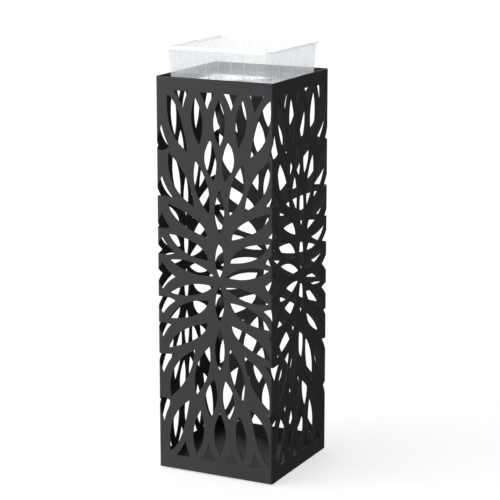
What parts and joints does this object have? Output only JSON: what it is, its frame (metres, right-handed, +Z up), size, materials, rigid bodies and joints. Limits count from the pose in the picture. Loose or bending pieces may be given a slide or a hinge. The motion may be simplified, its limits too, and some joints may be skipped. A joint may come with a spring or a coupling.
{
  "type": "umbrella stand",
  "caption": "Tall square umbrella stand: a black sheet-steel tube with laser-cut leaf-shaped openings, a base pan on small feet, and a clear drip tray that lifts out.",
  "frame": {"origin": "on the floor, under the middle of the stand", "axes": "+Z up along the tube, -Y out of the front panel, +X out of the right panel"},
  "size_m": [0.155, 0.155, 0.525],
  "materials": {
    "black_steel": "fine matt powder coat, black",
    "black_rubber": "dull",
    "clear_plastic": "clear, glossy, moulded"
  },
  "bodies": {
    "stand": {"front_panel": "black_steel", "right_panel": "black_steel", "back_panel": "black_steel", "left_panel": "black_steel", "base_pan": "black_steel", "foot_front_left": "black_rubber", "foot_front_right": "black_rubber", "foot_back_right": "black_rubber", "foot_back_left": "black_rubber"},
    "tray": {"drip_tray": "clear_plastic"}
  },
  "joints": [
    {"name": "tray_lift", "type": "slide", "parent": "stand", "child": "tray", "axis": [0, 0, 1], "range_m": [-0.472, 0.046]}
  ]
}
